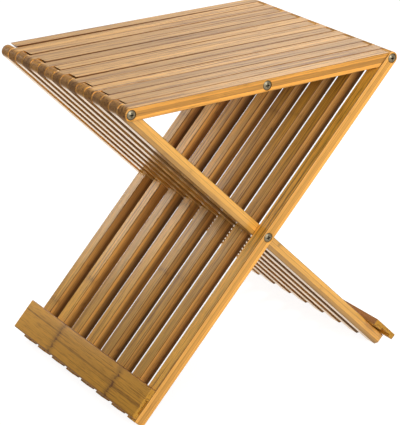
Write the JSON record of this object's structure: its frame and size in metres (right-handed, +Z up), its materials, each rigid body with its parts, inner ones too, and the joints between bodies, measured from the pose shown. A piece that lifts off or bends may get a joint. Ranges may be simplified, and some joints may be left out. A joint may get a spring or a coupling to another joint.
{
  "type": "folding shower stool",
  "caption": "Folding slatted bamboo stool on crossed slatted legs, with interleaved seat slats that hinge on steel rods and lift in the middle to fold.",
  "frame": {"origin": "on the floor, under the middle of the seat", "axes": "+X along the seat from the left seat rod to the right one, +Y across the slats from front to back, +Z up"},
  "size_m": [0.4198, 0.3284, 0.4266],
  "materials": {
    "seat_slats": "satin varnished bamboo",
    "leg_slats": "satin varnished bamboo",
    "foot_boards": "satin varnished bamboo",
    "rods": "plain drawn",
    "end_screws": "zinc plated",
    "wood_screws": "zinc plated"
  },
  "bodies": {
    "left_leg": {"left_leg_slat_1": "leg_slats", "left_leg_slat_2": "leg_slats", "left_leg_slat_3": "leg_slats", "left_leg_slat_4": "leg_slats", "left_leg_slat_5": "leg_slats", "left_leg_slat_6": "leg_slats", "left_leg_slat_7": "leg_slats", "left_leg_slat_8": "leg_slats", "left_foot_board": "foot_boards", "left_foot_board_screws": "wood_screws", "right_seat_rod": "rods", "right_seat_rod_front_screw": "end_screws", "right_seat_rod_back_screw": "end_screws", "crossing_rod": "rods", "crossing_rod_front_screw": "end_screws", "crossing_rod_back_screw": "end_screws"},
    "right_leg": {"right_leg_slat_1": "leg_slats", "right_leg_slat_2": "leg_slats", "right_leg_slat_3": "leg_slats", "right_leg_slat_4": "leg_slats", "right_leg_slat_5": "leg_slats", "right_leg_slat_6": "leg_slats", "right_leg_slat_7": "leg_slats", "right_leg_slat_8": "leg_slats", "right_foot_board": "foot_boards", "right_foot_board_screws": "wood_screws", "left_seat_rod": "rods", "left_seat_rod_front_screw": "end_screws", "left_seat_rod_back_screw": "end_screws"},
    "left_seat": {"left_seat_slat_1": "seat_slats", "left_seat_slat_2": "seat_slats", "left_seat_slat_3": "seat_slats", "left_seat_slat_4": "seat_slats", "left_seat_slat_5": "seat_slats", "left_seat_slat_6": "seat_slats", "left_seat_slat_7": "seat_slats", "left_seat_slat_8": "seat_slats", "middle_seat_rod_left_part": "rods", "middle_seat_rod_front_screw": "end_screws"},
    "right_seat": {"right_seat_slat_1": "seat_slats", "right_seat_slat_2": "seat_slats", "right_seat_slat_3": "seat_slats", "right_seat_slat_4": "seat_slats", "right_seat_slat_5": "seat_slats", "right_seat_slat_6": "seat_slats", "right_seat_slat_7": "seat_slats", "right_seat_slat_8": "seat_slats", "middle_seat_rod_right_part": "rods", "middle_seat_rod_back_screw": "end_screws"}
  },
  "joints": [
    {"name": "leg_fold", "type": "hinge", "parent": "left_leg", "child": "right_leg", "pos_m": [0, 0, 0.21236], "axis": [0, 1, 0], "range_deg": [0, 83.64]},
    {"name": "left_seat_hinge", "type": "hinge", "parent": "right_leg", "child": "left_seat", "pos_m": [-0.195, 0, 0.41636], "axis": [0, -1, 0], "range_deg": [0, 129.09]},
    {"name": "right_seat_hinge", "type": "hinge", "parent": "left_leg", "child": "right_seat", "pos_m": [0.195, 0, 0.41636], "axis": [0, 1, 0], "range_deg": [0, 129.09]}
  ],
  "couplings": [
    {"joint": "left_seat_hinge", "follows": "leg_fold", "ratio": 1.5434},
    {"joint": "right_seat_hinge", "follows": "leg_fold", "ratio": 1.5434}
  ]
}
